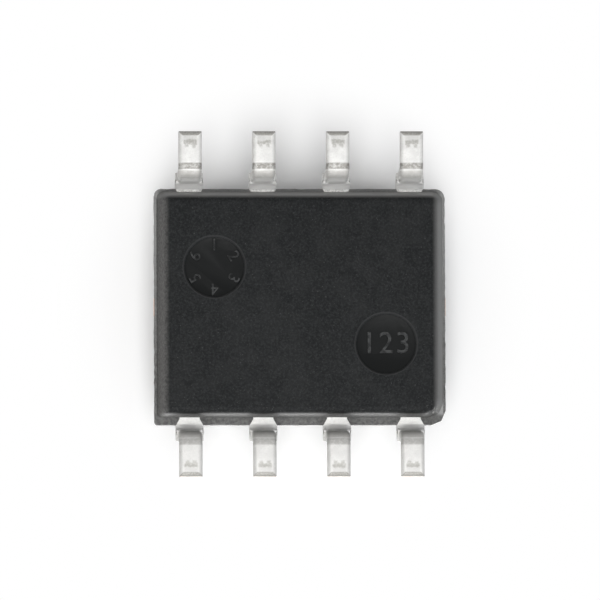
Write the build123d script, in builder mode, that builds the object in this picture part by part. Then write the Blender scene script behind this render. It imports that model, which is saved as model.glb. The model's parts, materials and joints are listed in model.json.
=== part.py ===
"""An eight-lead gull-wing controller chip: moulded body, bent leads, die pad, die and bond wires.

Millimetres. The feet stand on Z = 0, +Z points away from the board, the long side lies along X,
and the two rows of leads leave the body along +Y and -Y. Seen from above, leads 1 to 4 run along
the -Y side from -X to +X, and leads 5 to 8 come back along the +Y side.
"""

import os
from math import atan2, cos, degrees, hypot, radians, sin, tan

from build123d import *

os.makedirs("parts", exist_ok=True)

# ---- moulded body ----
body_length = 4.93  # along X, at the parting line
body_width = 3.90  # along Y, at the parting line
body_height = 1.45  # underside to top face
standoff = 0.15  # board to underside
end_draft = 12.0  # degrees, on the two short sides
side_draft = 7.5  # degrees, on the two long sides
face_edge_radius = 0.045  # along the rims of the top face and the underside
soft_corner_radius = 0.12  # upright corner at +X +Y
softer_corner_radius = 0.17  # upright corner at -X +Y
sharp_corner_radius = 0.05  # upright corner at +X -Y
gate_corner_chamfer = 0.13  # upright corner at -X -Y, where the runner broke away

# ---- resin ledge left around the parting line when the frame is trimmed ----
side_ledge = 0.09  # how far it stands out on the long sides
end_ledge = 0.05  # how far it stands out on the short sides

# ---- marks in the body ----
ejector_radius = 0.515
ejector_depth = 0.06
ejector_places = ((1.49, 0.645), (-1.46, -0.68))
dimple_radius = 0.30
dimple_depth = 0.08
dimple_place = (-1.74, -1.08)  # beside lead 1
index_bevel = 0.30  # bevel along the top edge on the side of lead 1

# ---- lead frame ----
lead_thickness = 0.20
lead_pitch = 1.27
leads_a_row = 4
tip_span = 5.95  # toe to toe, across both rows
foot_flat = 0.52  # flat underside of a foot, from its toe
foot_width = 0.40
neck_width = 0.35
stub_width = 0.48  # what is left of the dam bar on each lead
stub_wrap = 53.0  # degrees of the shoulder bend that the stub covers
bend_inner_radius = 0.08
leg_angle = 84.0  # degrees below the horizontal

# ---- inner fingers ----
finger_reach = 1.15  # from the middle of the body to a finger's inner end
finger_depth = 0.40  # along Y, of the broad inner end
inner_finger_width = 0.62
outer_finger_width = 0.92
inner_finger_shift = 0.0  # of the broad end, towards the middle
outer_finger_shift = 0.22

# ---- die pad ----
pad_length = 2.70
pad_width = 1.90
pad_downset = 0.15  # how far the pad lies below the leads
tie_bar_width = 0.30
tie_ramp = 0.20  # along X, of the bend that makes the downset
tie_flat = 0.12  # along X, between the pad's edge and the ramp

# ---- die and its glue ----
die_length = 1.30
die_width = 1.10
die_thickness = 0.25
glue_thickness = 0.025
glue_margin = 0.03  # glue squeezed out beyond each side of the die

# ---- bond wires ----
wire_radius = 0.0125
ball_radius = 0.0375
ball_height = 0.020
stitch_length = 0.09
stitch_width = 0.06
stitch_height = 0.020
loop_height = 0.16  # above the ball
loop_radius = 0.06
die_bond_inset = 0.09  # from the die's long edge to the balls
die_bond_inner = 0.17  # from the middle to the inner balls, along X
die_bond_outer = 0.50  # from the middle to the outer balls, along X
finger_bond_inset = 0.13  # from a finger's inner end to its stitch
outer_stitch_shift = 0.45  # from an outer lead's centre to its stitch, towards the middle
inner_stitch_shift = 0.08  # from an inner lead's centre to its stitch, towards the middle

# ---- sizes that follow from those above ----
half_height = (body_height - lead_thickness) / 2  # body below, and above, the lead frame
underside_z = standoff
lead_bottom = underside_z + half_height
lead_top = lead_bottom + lead_thickness
top_z = underside_z + body_height
bend_outer_radius = bend_inner_radius + lead_thickness
toe_y = tip_span / 2
heel_y = toe_y - foot_flat
heel_z = bend_outer_radius
shoulder_z = lead_bottom - bend_inner_radius
bends_rise = shoulder_z - heel_z
leg_cos = cos(radians(leg_angle))
leg_sin = sin(radians(leg_angle))
bends_apart = (bend_inner_radius + bend_outer_radius + bends_rise * leg_cos) / leg_sin
shoulder_y = heel_y - bends_apart  # where a lead starts to bend down
taper_length = (stub_width - neck_width) / 2
finger_end = finger_reach + finger_depth
pad_bottom = lead_bottom - pad_downset
pad_top = lead_top - pad_downset
die_bottom = pad_top + glue_thickness
die_top = die_bottom + die_thickness
top_edge_y = body_width / 2 - half_height * tan(radians(side_draft))
height_slack = 0.01  # when picking edges by height
ledge_length = body_length + 2 * end_ledge
ledge_width = body_width + 2 * side_ledge


def same(one, other):
    """Whether two heights are one height."""
    return abs(one - other) < height_slack


def half_turn(row):
    """The rotation that carries the +Y row of leads onto the row wanted."""
    return 0 if row > 0 else 180


def lead_place(number):
    """Where lead `number` stands along X, and whether its row is on +Y or -Y."""
    step = (number - 1) % leads_a_row
    start = -lead_pitch * (leads_a_row - 1) / 2
    if number <= leads_a_row:
        return start + step * lead_pitch, -1
    return -start - step * lead_pitch, 1


def on_circle(centre, radius, angle):
    """A point of a bend: the angle is measured from straight up, towards the toe."""
    turn = radians(angle)
    return centre[0] + radius * sin(turn), centre[1] + radius * cos(turn)


def bend(centre, radius, first, last):
    """One arc of a bend, in the lead's side view."""
    middle = (first + last) / 2
    ends = [on_circle(centre, radius, a) for a in (first, middle, last)]
    return ThreePointArc(*ends)


def bent_lead(broad_width, broad_shift):
    """A lead of the +Y row, its neck at X = 0, its broad inner end shifted along X."""
    shoulder = (shoulder_y, shoulder_z)
    heel = (heel_y, heel_z)
    inner = bend_inner_radius
    outer = bend_outer_radius
    with BuildPart() as lead:
        # the part of the frame that stays flat: broad inner end, neck, and the taper to the stub
        with BuildSketch(Plane.XY.offset(lead_bottom)):
            with Locations((broad_shift, finger_reach)):
                Rectangle(broad_width, finger_depth, align=(Align.CENTER, Align.MIN))
            with Locations((0, finger_end)):
                neck_run = shoulder_y - finger_end
                Rectangle(neck_width, neck_run, align=(Align.CENTER, Align.MIN))
            with BuildLine():
                Polyline(
                    (-neck_width / 2, shoulder_y - taper_length),
                    (neck_width / 2, shoulder_y - taper_length),
                    (stub_width / 2, shoulder_y),
                    (-stub_width / 2, shoulder_y),
                    close=True,
                )
            make_face()
        extrude(amount=lead_thickness)
        # the stub of the dam bar, wrapped over the first part of the shoulder
        with BuildSketch(Plane.YZ):
            with BuildLine():
                bend(shoulder, outer, 0, stub_wrap)
                Line(on_circle(shoulder, outer, stub_wrap), on_circle(shoulder, inner, stub_wrap))
                bend(shoulder, inner, stub_wrap, 0)
                Line(on_circle(shoulder, inner, 0), on_circle(shoulder, outer, 0))
            make_face()
        extrude(amount=stub_width / 2, both=True)
        # the rest of the shoulder, the leg, the heel and the foot
        with BuildSketch(Plane.YZ):
            with BuildLine():
                bend(shoulder, outer, stub_wrap, leg_angle)
                Line(on_circle(shoulder, outer, leg_angle), on_circle(heel, -inner, leg_angle))
                bend(heel, -inner, leg_angle, 0)
                Polyline((heel_y, lead_thickness), (toe_y, lead_thickness), (toe_y, 0), (heel_y, 0))
                bend(heel, -outer, 0, leg_angle)
                Line(on_circle(heel, -outer, leg_angle), on_circle(shoulder, inner, leg_angle))
                bend(shoulder, inner, leg_angle, stub_wrap)
                Line(on_circle(shoulder, inner, stub_wrap), on_circle(shoulder, outer, stub_wrap))
            make_face()
        extrude(amount=foot_width / 2, both=True)
    return lead.part


def bond_wire(ball_at, stitch_at):
    """A ball on the die, a loop, and a flattened stitch on a finger."""
    run = hypot(stitch_at[0] - ball_at[0], stitch_at[1] - ball_at[1])
    heading = degrees(atan2(stitch_at[1] - ball_at[1], stitch_at[0] - ball_at[0]))
    drop = lead_top - die_top
    place = Location((ball_at[0], ball_at[1], die_top), (0, 0, heading))
    with BuildPart() as wire:
        with BuildSketch():
            Circle(ball_radius)
        extrude(amount=ball_height)
        with BuildLine(Plane.XZ) as path:
            FilletPolyline(
                (0, ball_height / 2),
                (0, ball_height + loop_height),
                (run, drop + wire_radius),
                radius=loop_radius,
            )
        with BuildSketch(Plane.XY.offset(ball_height / 2)):
            Circle(wire_radius)
        sweep(path=path.line)
        with Locations((run, 0, drop)):
            Box(stitch_length, stitch_width, stitch_height, align=(Align.CENTER, Align.CENTER, Align.MIN))
    return place * wire.part


def drafted_half(face_z, parting_z):
    """One half of the moulded body: narrow at its face, full size at the parting line."""
    tall = abs(parting_z - face_z)
    with BuildPart() as half:
        with BuildSketch(Plane.XY.offset(face_z)):
            Rectangle(
                body_length - 2 * tall * tan(radians(end_draft)),
                body_width - 2 * tall * tan(radians(side_draft)),
            )
        with BuildSketch(Plane.XY.offset(parting_z)):
            Rectangle(body_length, body_width)
        loft(ruled=True)
        upright = half.edges().filter_by(lambda e: same(e.center().Z, (face_z + parting_z) / 2))
        for side_x, side_y, size in (
            (1, 1, soft_corner_radius),
            (-1, 1, softer_corner_radius),
            (1, -1, sharp_corner_radius),
        ):
            fillet([e for e in upright if e.center().X * side_x > 0 and e.center().Y * side_y > 0], size)
        gate = [e for e in upright if e.center().X < 0 and e.center().Y < 0]
        chamfer(gate, gate_corner_chamfer)
        face = half.faces().sort_by(lambda f: abs(f.center().Z - face_z))[0]
        fillet(face.edges(), face_edge_radius)
    return half.part


# ---- leads ----
outer_pair = (1, leads_a_row)  # places in a row that stand at the body's ends
leads = {}
for number in range(1, 2 * leads_a_row + 1):
    lead_x, row = lead_place(number)
    toward_middle = -1 if lead_x * row > 0 else 1
    at_the_end = (number - 1) % leads_a_row + 1 in outer_pair
    broad_width = outer_finger_width if at_the_end else inner_finger_width
    broad_shift = toward_middle * (outer_finger_shift if at_the_end else inner_finger_shift)
    shaped = bent_lead(broad_width, broad_shift)
    with BuildPart() as lead:
        add(Location((lead_x, 0, 0), (0, 0, half_turn(row))) * shaped)
    lead.part.label = f"lead_{number}"
    export_step(lead.part, f"parts/lead_{number}.step")
    leads[number] = lead.part

# ---- die pad, with a tie bar to each short side ----
with BuildPart() as die_pad:
    with BuildSketch(Plane.XY.offset(pad_bottom)):
        Rectangle(pad_length, pad_width)
    extrude(amount=lead_thickness)
    with BuildSketch(Plane.XZ):
        for side in (1, -1):
            ramp_start = side * (pad_length / 2 + tie_flat)
            ramp_end = side * (pad_length / 2 + tie_flat + tie_ramp)
            with BuildLine():
                Polyline(
                    (0, pad_bottom),
                    (ramp_start, pad_bottom),
                    (ramp_end, lead_bottom),
                    (side * ledge_length / 2, lead_bottom),
                    (side * ledge_length / 2, lead_top),
                    (ramp_end, lead_top),
                    (ramp_start, pad_top),
                    (0, pad_top),
                    close=True,
                )
            make_face()
    extrude(amount=tie_bar_width / 2, both=True)
die_pad.part.label = "die_pad"
export_step(die_pad.part, "parts/die_pad.step")

# ---- silver-filled glue under the die ----
with BuildPart() as die_attach:
    with BuildSketch(Plane.XY.offset(pad_top)):
        Rectangle(die_length + 2 * glue_margin, die_width + 2 * glue_margin)
    extrude(amount=glue_thickness)
die_attach.part.label = "die_attach"
export_step(die_attach.part, "parts/die_attach.step")

# ---- silicon die ----
with BuildPart() as die:
    with BuildSketch(Plane.XY.offset(die_bottom)):
        Rectangle(die_length, die_width)
    extrude(amount=die_thickness)
die.part.label = "die"
export_step(die.part, "parts/die.step")

# ---- bond wires, one from the die to each lead ----
wires = {}
for number in range(1, 2 * leads_a_row + 1):
    lead_x, row = lead_place(number)
    side = 1 if lead_x > 0 else -1
    at_the_end = (number - 1) % leads_a_row + 1 in outer_pair
    ball_x = side * (die_bond_outer if at_the_end else die_bond_inner)
    ball_y = row * (die_width / 2 - die_bond_inset)
    stitch_x = lead_x - side * (outer_stitch_shift if at_the_end else inner_stitch_shift)
    stitch_y = row * (finger_reach + finger_bond_inset)
    shaped = bond_wire((ball_x, ball_y), (stitch_x, stitch_y))
    with BuildPart() as wire:
        add(shaped)
    wire.part.label = f"bond_wire_{number}"
    export_step(wire.part, f"parts/bond_wire_{number}.step")
    wires[number] = wire.part

# ---- moulded body, cast around everything above ----
lower_half = drafted_half(underside_z, lead_bottom)
upper_half = drafted_half(top_z, lead_top)
with BuildPart() as package_body:
    add(lower_half)
    add(upper_half)
    with BuildSketch(Plane.XY.offset(lead_bottom)):
        Rectangle(ledge_length, ledge_width)
    extrude(amount=lead_thickness)
    ledge_corners = package_body.edges().filter_by(Axis.Z)
    ledge_corners = ledge_corners.filter_by(lambda e: same(e.center().Z, (lead_bottom + lead_top) / 2))
    for side_x, side_y, size in (
        (1, 1, soft_corner_radius),
        (-1, 1, softer_corner_radius),
        (1, -1, sharp_corner_radius),
    ):
        fillet([e for e in ledge_corners if e.center().X * side_x > 0 and e.center().Y * side_y > 0], size)
    chamfer([e for e in ledge_corners if e.center().X < 0 and e.center().Y < 0], gate_corner_chamfer)
    # the bevel that runs along the top face on the side of lead 1
    with BuildSketch(Plane.YZ):
        with BuildLine():
            Polyline(
                (-top_edge_y - index_bevel, top_z - 2 * index_bevel),
                (-top_edge_y - index_bevel, top_z + index_bevel),
                (-top_edge_y + 2 * index_bevel, top_z + index_bevel),
                close=True,
            )
        make_face()
    extrude(amount=body_length, both=True, mode=Mode.SUBTRACT)
    # ejector pin marks in the underside
    with BuildSketch(Plane.XY.offset(underside_z)):
        with Locations(*ejector_places):
            Circle(ejector_radius)
    extrude(amount=ejector_depth, mode=Mode.SUBTRACT)
    # index dimple in the top face, beside lead 1
    with BuildSketch(Plane.XY.offset(top_z)):
        with Locations(dimple_place):
            Circle(dimple_radius)
    extrude(amount=-dimple_depth, mode=Mode.SUBTRACT)
    for held in (*leads.values(), die_pad.part, die_attach.part, die.part, *wires.values()):
        add(held, mode=Mode.SUBTRACT)
package_body.part.label = "package_body"
export_step(package_body.part, "parts/package_body.step")
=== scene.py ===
# %% [markdown]
# # A controller chip with gull-wing leads
# This file builds the look of a small-outline chip: a black moulded body 4 mm wide, with four bent
# metal leads along each long side. The exact shapes that a machinist would use arrive as a fixed
# frame. The pieces an eye can see are then modelled again, finer, around that frame, because the
# roundings of so small a thing are only a few hundredths of a millimetre.

import json
import math

import bmesh
import bpy
import mathutils
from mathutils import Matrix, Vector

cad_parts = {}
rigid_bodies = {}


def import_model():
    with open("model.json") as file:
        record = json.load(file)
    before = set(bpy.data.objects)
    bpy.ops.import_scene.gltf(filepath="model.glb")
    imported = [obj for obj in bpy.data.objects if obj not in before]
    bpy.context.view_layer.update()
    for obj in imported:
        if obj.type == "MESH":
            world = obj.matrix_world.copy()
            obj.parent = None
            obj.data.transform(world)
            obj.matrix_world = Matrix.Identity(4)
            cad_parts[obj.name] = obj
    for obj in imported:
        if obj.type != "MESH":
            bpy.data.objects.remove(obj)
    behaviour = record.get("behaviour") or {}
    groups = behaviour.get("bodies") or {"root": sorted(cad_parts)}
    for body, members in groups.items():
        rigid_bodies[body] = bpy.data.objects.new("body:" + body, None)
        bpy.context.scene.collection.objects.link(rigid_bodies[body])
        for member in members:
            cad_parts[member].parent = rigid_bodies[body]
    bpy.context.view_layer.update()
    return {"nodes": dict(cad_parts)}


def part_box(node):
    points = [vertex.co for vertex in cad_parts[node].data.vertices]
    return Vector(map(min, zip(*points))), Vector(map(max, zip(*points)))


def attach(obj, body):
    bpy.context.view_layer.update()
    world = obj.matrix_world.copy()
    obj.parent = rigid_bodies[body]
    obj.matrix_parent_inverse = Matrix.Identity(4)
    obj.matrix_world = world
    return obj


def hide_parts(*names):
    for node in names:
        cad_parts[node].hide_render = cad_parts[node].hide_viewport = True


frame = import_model()

# %% [markdown]
# ## Working a thousand times larger
# Blender's tools are happiest with things about a metre across. So each piece is drawn here with one
# Blender metre for one real millimetre, and shrunk at the very end. The shrink is baked into the
# mesh, so the finished object is unturned, unscaled and at the origin, as the frame's own pieces are.

# %% sizes in millimetres
MM = 0.001
BODY = (4.93, 3.90)  # length and width where the two mould halves meet
BODY_HEIGHT = 1.45
STANDOFF = 0.15  # board to underside
END_DRAFT = math.radians(12.0)
SIDE_DRAFT = math.radians(7.5)
LEDGE = (5.022, 4.08)  # the body with its trimmed resin ledge
METAL = 0.20  # lead thickness
LEDGE_SHY = 0.012  # how far the ledge stays below the metal's two faces
PITCH = 1.27
ROW = 4
HALF = (BODY_HEIGHT - METAL) / 2  # moulding above, and below, the metal
LEAD_BOTTOM = STANDOFF + HALF
LEAD_TOP = LEAD_BOTTOM + METAL
TOP = STANDOFF + BODY_HEIGHT
toe_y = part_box("lead_6")[1][1] / MM
print("toe at", round(toe_y, 3), "mm from the middle; leads leave at", round(LEAD_BOTTOM, 3))

# %% [markdown]
# ## Small helpers
# Every operator works on what is selected, so each step first lets go of everything and then picks
# faces, edges or points by where they are. These helpers keep that in one place.

# %% helpers for picking and moving


def let_go():
    if bpy.context.object and bpy.context.object.mode != "OBJECT":
        bpy.ops.object.mode_set(mode="OBJECT")
    bpy.ops.object.select_all(action="DESELECT")


def edit(piece):
    let_go()
    piece.select_set(True)
    bpy.context.view_layer.objects.active = piece
    bpy.ops.object.mode_set(mode="EDIT")


def middle_of(element):
    points = element.verts if hasattr(element, "verts") else [element]
    total = [sum(p.co[i] for p in points) / len(points) for i in range(3)]
    return total


def pick(kind, test):
    modes = {"faces": "FACE", "edges": "EDGE", "verts": "VERT"}
    bpy.ops.mesh.select_mode(type=modes[kind])
    bpy.ops.mesh.select_all(action="DESELECT")
    data = bpy.context.edit_object.data
    cage = bmesh.from_edit_mesh(data)
    chosen = [e for e in getattr(cage, kind) if test(e)]
    for element in chosen:
        element.select_set(True)
    cage.select_flush_mode()
    bmesh.update_edit_mesh(data)
    return len(chosen)


def near(value, target, slack=0.002):
    return abs(value - target) < slack


def pull(dx=0.0, dy=0.0, dz=0.0):
    bpy.ops.mesh.extrude_region_move(TRANSFORM_OT_translate={"value": (dx, dy, dz)})


def stretch(sx=1.0, sy=1.0, sz=1.0, about=(0, 0, 0)):
    bpy.ops.transform.resize(value=(sx, sy, sz), center_override=about)


def tidy_skin(piece):
    edit(piece)
    bpy.ops.mesh.select_all(action="SELECT")
    bpy.ops.mesh.remove_doubles(threshold=2e-4)
    bpy.ops.mesh.dissolve_degenerate(threshold=2e-4)
    bpy.ops.mesh.normals_make_consistent(inside=False)
    bpy.ops.object.mode_set(mode="OBJECT")


def open_edges(piece):
    edit(piece)
    bpy.ops.mesh.select_mode(type="EDGE")
    bpy.ops.mesh.select_all(action="DESELECT")
    bpy.ops.mesh.select_non_manifold()
    bpy.ops.object.mode_set(mode="OBJECT")
    return sum(edge.select for edge in piece.data.edges)


def to_real_size(piece, smooth_angle=35):
    let_go()
    piece.select_set(True)
    bpy.context.view_layer.objects.active = piece
    piece.scale = (MM, MM, MM)
    bpy.ops.object.transform_apply(location=True, rotation=True, scale=True)
    bpy.ops.object.shade_smooth_by_angle(angle=math.radians(smooth_angle))


let_go()

# %% [markdown]
# ## One lead, bent as the press bends it
# A lead is a strip stamped from copper alloy 0.2 mm thick. Outside the body it narrows at its neck,
# carries the stub of the dam bar that held the frame together, bends down at the shoulder, drops,
# and bends out again into a foot. Modelling it the way it is made works well: start with the broad
# inner end as a block, pull its end face outwards, and spin that face round each bend's centre.

# %% lead sizes
FOOT_FLAT = 0.52
FOOT_WIDTH = 0.40
NECK_WIDTH = 0.35
STUB_WIDTH = 0.48
STUB_WRAP = math.radians(78.0)
LEG_ANGLE = math.radians(84.0)
BEND_INSIDE = 0.08
BEND_OUTSIDE = BEND_INSIDE + METAL
heel_y = toe_y - FOOT_FLAT
heel_centre = (0, heel_y, BEND_OUTSIDE)
shoulder_z = LEAD_BOTTOM - BEND_INSIDE
drop = shoulder_z - BEND_OUTSIDE
apart = (BEND_INSIDE + BEND_OUTSIDE + drop * math.cos(LEG_ANGLE)) / math.sin(LEG_ANGLE)
shoulder_y = heel_y - apart
shoulder_centre = (0, shoulder_y, shoulder_z)
leg_length = drop * math.sin(LEG_ANGLE) + apart * math.cos(LEG_ANGLE)
print("shoulder starts at", round(shoulder_y, 4), "and the leg is", round(leg_length, 4))

# %% [markdown]
# ## From block to strip
# The broad inner end is a cube scaled to size. To carry on only part of its end face, two bisect
# cuts mark the neck's width on that face, and the middle piece alone is pulled outwards. That keeps
# the step square, with no squashed faces beside it.

# %% the inner end, the neck and the taper
FINGER_REACH = 1.15
FINGER_DEPTH = 0.40
EMERGE = 1.935  # where the neck starts to widen, as it leaves the body
NECK_Z = LEAD_BOTTOM + METAL / 2


def block(name, size, centre):
    let_go()
    bpy.ops.mesh.primitive_cube_add(size=1, location=centre)
    piece = bpy.context.object
    piece.name = name
    piece.scale = size
    bpy.ops.object.transform_apply(location=True, rotation=True, scale=True)
    return piece


def along(direction):
    """A measure of how far a face lies out along a direction."""
    return lambda f: sum(a * b for a, b in zip(middle_of(f), direction))


def pick_front(direction, within=9.0):
    """Picks the foremost faces along a direction, no further than `within` from the middle line."""
    how_far = along(direction)
    cage = bmesh.from_edit_mesh(bpy.context.edit_object.data)
    most = max(how_far(f) for f in cage.faces)
    return pick("faces", lambda f: near(how_far(f), most) and abs(middle_of(f)[0]) < within)


def narrow_front(direction, width, middle_x=0.0):
    """Cuts the end face at the width wanted and picks the middle piece of it."""
    for side in (-1, 1):
        pick_front(direction)
        edge = (middle_x + side * width / 2, 0, 0)
        bpy.ops.mesh.bisect(plane_co=edge, plane_no=(1, 0, 0))
    return pick_front(direction, within=0.05)


OUTWARD = (0, 1, 0)


def inner_end(name, width, shift):
    centre = (shift, FINGER_REACH + FINGER_DEPTH / 2, NECK_Z)
    piece = block(name, (width, FINGER_DEPTH, METAL), centre)
    edit(piece)
    narrow_front(OUTWARD, NECK_WIDTH)
    pull(dy=EMERGE - FINGER_REACH - FINGER_DEPTH)
    pull(dy=shoulder_y - EMERGE)
    stretch(sx=STUB_WIDTH / NECK_WIDTH)
    return piece


# %% [markdown]
# ## Bends by spinning
# Spin turns the selected end face about an axis and leaves a skin behind it, which is just what a
# press brake does to the strip. The dam-bar stub covers the first 78 degrees of the shoulder. There
# the end face is cut again, so the stub ends in two small square steps and the narrower leg goes on.

# %% shoulder, leg, heel and foot
SHOULDER_STEPS = 9
REST_STEPS = 1
HEEL_STEPS = 12


def spin(angle, centre, steps):
    bpy.ops.mesh.spin(steps=steps, angle=angle, center=centre, axis=(1, 0, 0))


def outward_and_down(angle):
    return 0, math.cos(angle), -math.sin(angle)


def lead_blank(name, width, shift):
    piece = inner_end(name, width, shift)
    spin(STUB_WRAP, shoulder_centre, SHOULDER_STEPS)
    narrow_front(outward_and_down(STUB_WRAP), FOOT_WIDTH)
    spin(LEG_ANGLE - STUB_WRAP, shoulder_centre, REST_STEPS)
    down = outward_and_down(LEG_ANGLE)
    pull(dy=down[1] * leg_length, dz=down[2] * leg_length)
    spin(-LEG_ANGLE, heel_centre, HEEL_STEPS)
    pull(dy=FOOT_FLAT)
    tidy_skin(piece)
    return piece


# %% [markdown]
# ## Edges of a stamped strip
# A die rounds the strip's lower edges and leaves the upper ones crisp. On a foot this shows as a
# soft border about 0.06 mm wide that runs round the sole, mitred at the toe's corners. So the sole's
# edges get a broad bevel first, and a bevel modifier then takes the sharpness off all the rest.

# %% rounding the sole, then everything else
SOLE_ROUND = 0.075
EDGE_ROUND = 0.013


def from_centre(point, centre):
    return math.hypot(point[1] - centre[1], point[2] - centre[2])


def on_the_sole(point):
    foot = point[2] < 0.001 and point[1] > heel_y - 0.001
    heel = near(from_centre(point, heel_centre), BEND_OUTSIDE) and point[1] < heel_y + 0.001
    arch = near(from_centre(point, shoulder_centre), BEND_INSIDE)
    return foot or heel or arch


def sole_edge(edge):
    ends = [tuple(v.co) for v in edge.verts]
    if not all(on_the_sole(p) and near(abs(p[0]), FOOT_WIDTH / 2) for p in ends):
        return False
    lengthways = near(ends[0][0], ends[1][0])
    at_toe = all(near(p[1], toe_y) for p in ends)
    return lengthways or at_toe


def add_bevel(piece, width, segments, angle):
    bevel = piece.modifiers.new("round", "BEVEL")
    bevel.width = width
    bevel.segments = segments
    bevel.limit_method = "ANGLE"
    bevel.angle_limit = math.radians(angle)
    bevel.use_clamp_overlap = False
    bpy.ops.object.modifier_apply(modifier=bevel.name)


def rounded_lead(name, width, shift):
    piece = lead_blank(name, width, shift)
    edit(piece)
    print(name, "sole edges", pick("edges", sole_edge))
    bpy.ops.mesh.bevel(offset=SOLE_ROUND, segments=4, affect="EDGES")
    bpy.ops.object.mode_set(mode="OBJECT")
    add_bevel(piece, EDGE_ROUND, 2, 40)
    tidy_skin(piece)
    return piece


INNER_FINGER = (0.62, 0.0)
OUTER_FINGER = (0.92, 0.22)
inner_blank = rounded_lead("inner_lead_blank", *INNER_FINGER)
outer_blank = rounded_lead("outer_lead_blank", *OUTER_FINGER)
for blank in (inner_blank, outer_blank):
    print(blank.name, "faces", len(blank.data.polygons), "open edges", open_edges(blank))

# %% [markdown]
# ## Eight leads from two blanks
# The inner and the outer leads differ only inside the body, where the outer ones reach in towards
# the die. Each lead is a copy with a mesh of its own, turned half round for the other row, and
# mirrored where its inner end must reach the other way.

# %% placing the leads


def lead_place(number):
    step = (number - 1) % ROW
    start = -PITCH * (ROW - 1) / 2
    if number <= ROW:
        return start + step * PITCH, -1
    return -start - step * PITCH, 1


def place_lead(number):
    x, row = lead_place(number)
    outer = abs(x) > PITCH
    source = outer_blank if outer else inner_blank
    piece = source.copy()
    piece.data = source.data.copy()
    piece.name = f"gull_wing_lead_{number}"
    bpy.context.scene.collection.objects.link(piece)
    mirrored = outer and x * row > 0
    piece.scale = (-1 if mirrored else 1, 1, 1)
    piece.rotation_euler = (0, 0, 0 if row > 0 else math.pi)
    piece.location = (x, 0, 0)
    let_go()
    piece.select_set(True)
    bpy.context.view_layer.objects.active = piece
    bpy.ops.object.transform_apply(location=True, rotation=True, scale=True)
    tidy_skin(piece)
    return piece


leads = {number: place_lead(number) for number in range(1, 2 * ROW + 1)}
for blank in (inner_blank, outer_blank):
    bpy.data.objects.remove(blank, do_unlink=True)
print(len(leads), "leads placed")

# %% [markdown]
# ## The outline of the moulding
# Each upright corner of this body is a little different: two are rounded, one is nearly sharp, and
# one broke away with the runner that fed the mould. So the outline is drawn first, flat, with its
# own bevel on each corner point, and the whole body then grows from it.

# %% outline with four different corners
CORNERS = {(1, 1): (0.12, 6), (-1, 1): (0.17, 7), (1, -1): (0.06, 4), (-1, -1): (0.25, 2)}
LEDGE_CUTS = 44


def corner_point(side_x, side_y):
    return lambda v: v.co.x * side_x > 0 and v.co.y * side_y > 0 and near(abs(v.co.y), LEDGE[1] / 2)


def body_outline():
    let_go()
    bpy.ops.mesh.primitive_plane_add(size=1, location=(0, 0, LEAD_BOTTOM + LEDGE_SHY))
    piece = bpy.context.object
    piece.name = "moulded_body"
    piece.scale = (LEDGE[0], LEDGE[1], 1)
    bpy.ops.object.transform_apply(location=True, rotation=True, scale=True)
    edit(piece)
    for (side_x, side_y), (size, segments) in CORNERS.items():
        pick("verts", corner_point(side_x, side_y))
        bpy.ops.mesh.bevel(offset=size, segments=segments, affect="VERTICES")
    pick("faces", lambda f: True)
    bpy.ops.mesh.delete(type="ONLY_FACE")
    pick("edges", lambda e: e.calc_length() > 1)
    bpy.ops.mesh.subdivide(number_cuts=LEDGE_CUTS)
    bpy.ops.mesh.select_all(action="SELECT")
    bpy.ops.mesh.edge_face_add()
    return piece


# %% [markdown]
# ## Two drafted halves and the ledge between them
# Moulding resin fills the gap between the metal leads as far as the dam bar, and the trim die cuts
# it off a little outside the body. That leaves a thin ledge all round. Above and below it the walls
# lean inwards, 12 degrees at the ends and 7.5 along the sides, so the body leaves the mould.
#
# The underside's rim is rounded while it grows: each small pull is a little shorter and narrower.
# The two mould halves seldom close quite true, so the root of the lower half is slipped a little
# towards leads 5 to 8, and comes back to the middle by the time it reaches the underside.

# %% growing the body from its outline
DRAFTS = (END_DRAFT, SIDE_DRAFT)
FACE = [BODY[i] - 2 * HALF * math.tan(DRAFTS[i]) for i in (0, 1)]
UNDER_RIM_ROUND = 0.13
RIM_STEPS = 9
MOULD_SLIP = 0.04  # how far the root of the lower half lies off the middle, towards leads 5 to 8


def rim_inset(height, radius, draft):
    """How far in from the sharp rim the rounded one lies, at a height off the face."""
    if height >= radius * (1 - math.sin(draft)):
        return -height * math.tan(draft)
    centre = radius * (1 - math.sin(draft)) / math.cos(draft)
    return centre - math.sqrt(radius**2 - (radius - height) ** 2)


def grow_half(z, dz, rim_round, slip=0.0):
    pick("faces", lambda f: near(f.calc_center_median().z, z) and abs(f.normal.z) > 0.9)
    pull()
    stretch(BODY[0] / LEDGE[0], BODY[1] / LEDGE[1], about=(0, 0, z))
    bpy.ops.transform.translate(value=(0, slip, 0))
    turns = [math.radians(12 + 78 * step / RIM_STEPS) for step in range(RIM_STEPS + 1)]
    heights = [rim_round * (1 - math.sin(turn)) for turn in turns] if rim_round else [0]
    size, risen = BODY, 0.0
    for height in heights:
        step = abs(dz) - height - risen
        wanted = [FACE[i] - 2 * rim_inset(height, rim_round, DRAFTS[i]) for i in (0, 1)]
        pull(dz=math.copysign(step, dz))
        back = -slip * step / abs(dz)
        bpy.ops.transform.translate(value=(0, back, 0))
        risen += step
        lean = slip * (1 - risen / abs(dz))
        about = (0, lean, z + math.copysign(risen, dz))
        stretch(wanted[0] / size[0], wanted[1] / size[1], about=about)
        size = wanted


def moulded_blank():
    piece = body_outline()
    pick("faces", lambda f: True)
    pull(dz=METAL - 2 * LEDGE_SHY)
    grow_half(LEAD_BOTTOM + LEDGE_SHY, -HALF - LEDGE_SHY, UNDER_RIM_ROUND, MOULD_SLIP)
    grow_half(LEAD_TOP - LEDGE_SHY, HALF + LEDGE_SHY, 0)
    bpy.ops.object.mode_set(mode="OBJECT")
    tidy_skin(piece)
    return piece


body = moulded_blank()
print("body faces", len(body.data.polygons), "open edges", open_edges(body))

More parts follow.
